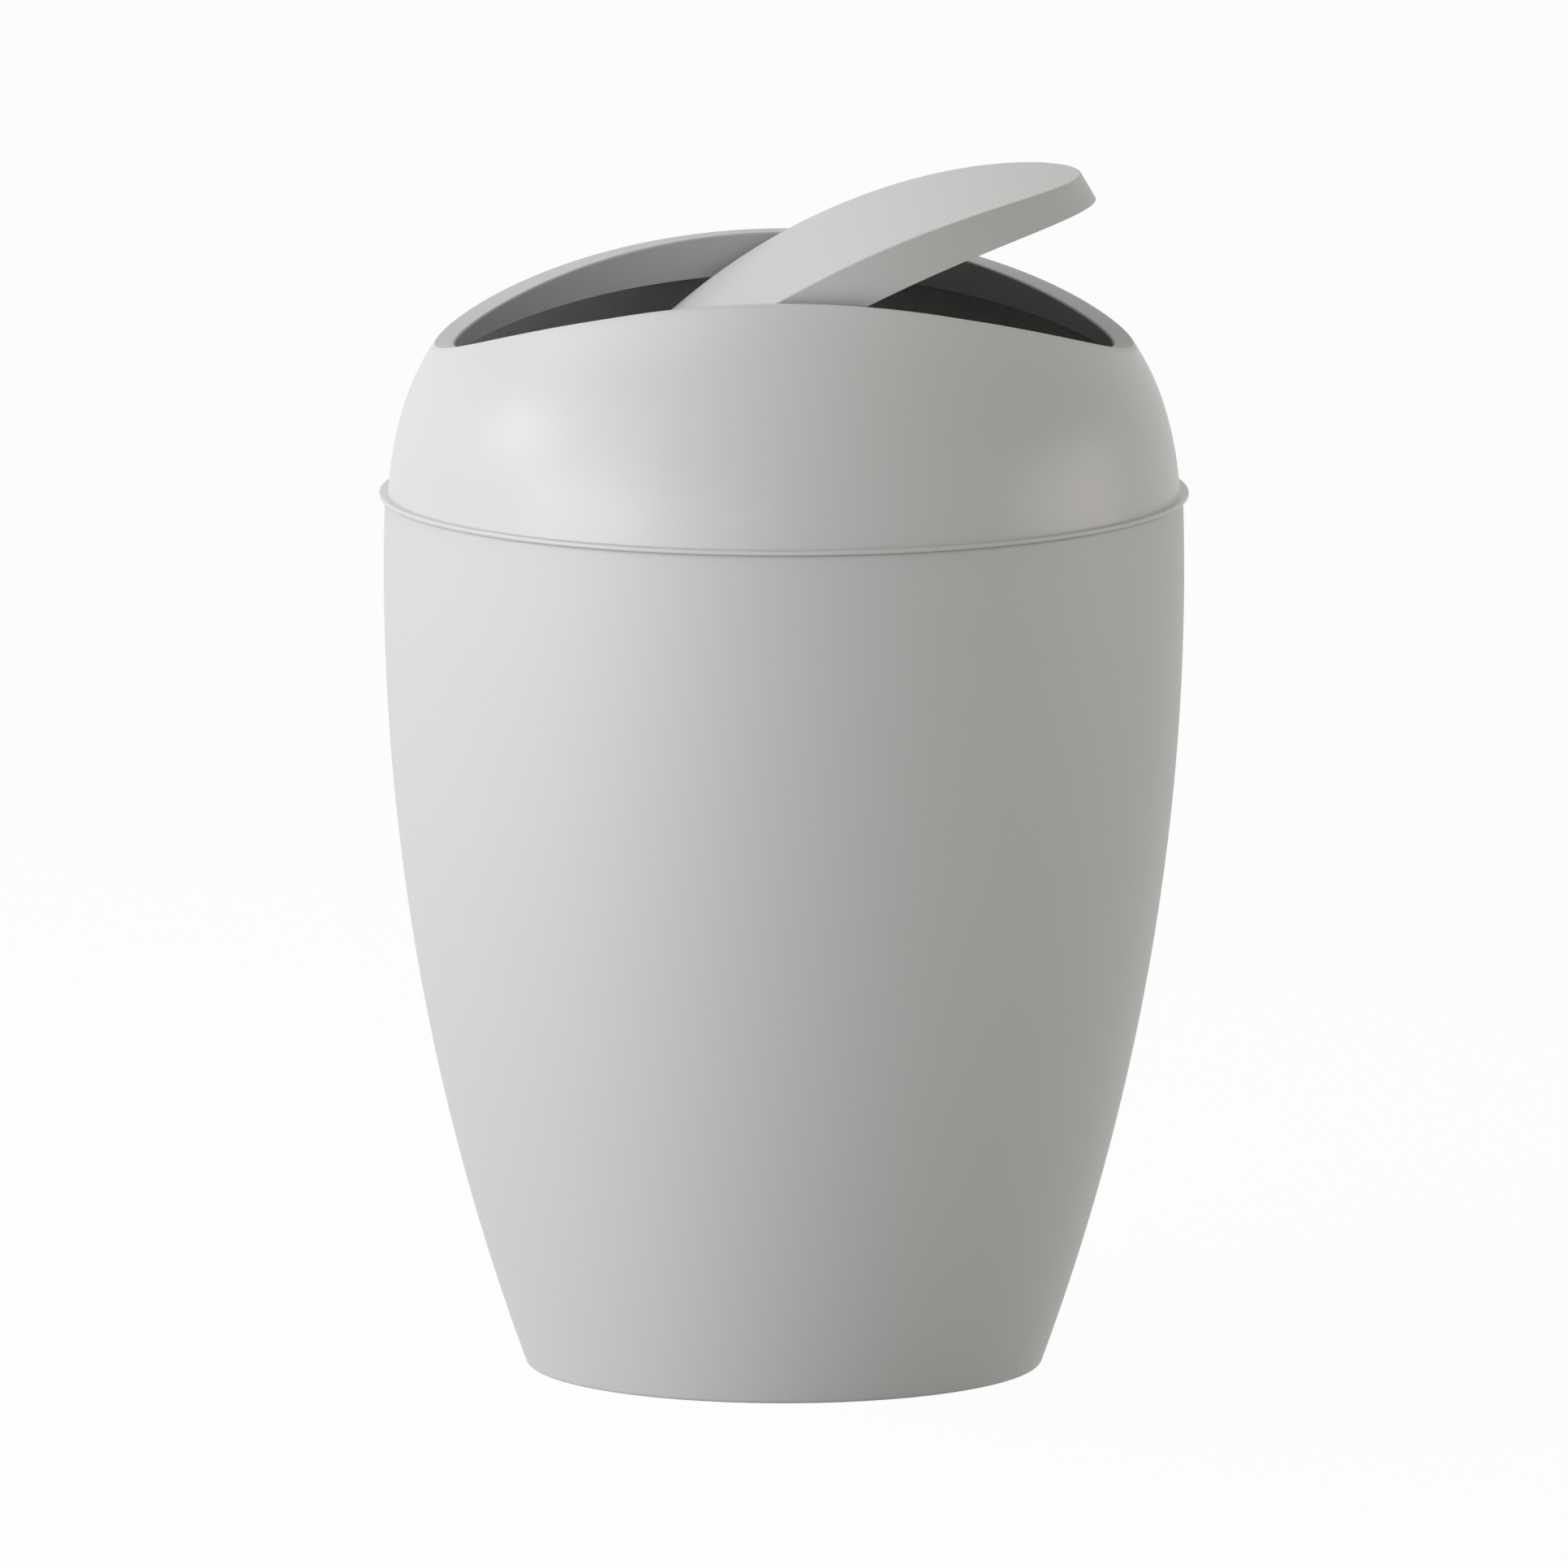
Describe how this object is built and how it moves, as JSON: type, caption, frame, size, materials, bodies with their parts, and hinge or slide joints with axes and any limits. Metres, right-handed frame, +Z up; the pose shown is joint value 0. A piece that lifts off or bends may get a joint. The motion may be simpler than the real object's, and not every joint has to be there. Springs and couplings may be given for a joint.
{
  "type": "swing-lid wastebasket",
  "caption": "Tapered round plastic wastebasket with a domed lift-off collar and an oval flap that swings both ways in its mouth.",
  "frame": {"origin": "centre of the standing face, on the floor", "axes": "+Z up, -Y towards the user, the flap swings about an axis along Y and its +X end is raised at rest"},
  "size_m": [0.2619, 0.262, 0.3892],
  "materials": {
    "bin_plastic": "fine satin texture",
    "lid_plastic": "fine satin texture",
    "flap_plastic": "fine satin texture",
    "cover_plastic": "plain satin",
    "pin_plastic": "smooth"
  },
  "bodies": {
    "bin": {"bin_body": "bin_plastic"},
    "lid": {"lid_collar": "lid_plastic"},
    "flap": {"flap_shell": "flap_plastic", "flap_cover": "cover_plastic", "rear_pivot_pin": "pin_plastic", "front_pivot_pin": "pin_plastic"}
  },
  "joints": [
    {"name": "lid_lift", "type": "slide", "parent": "bin", "child": "lid", "axis": [0, 0, 1], "range_m": [0, 0.12]},
    {"name": "flap_swing", "type": "hinge", "parent": "lid", "child": "flap", "pos_m": [0, 0, 0.3498], "axis": [0, 1, 0], "range_deg": [-49.7, 110.3]}
  ]
}
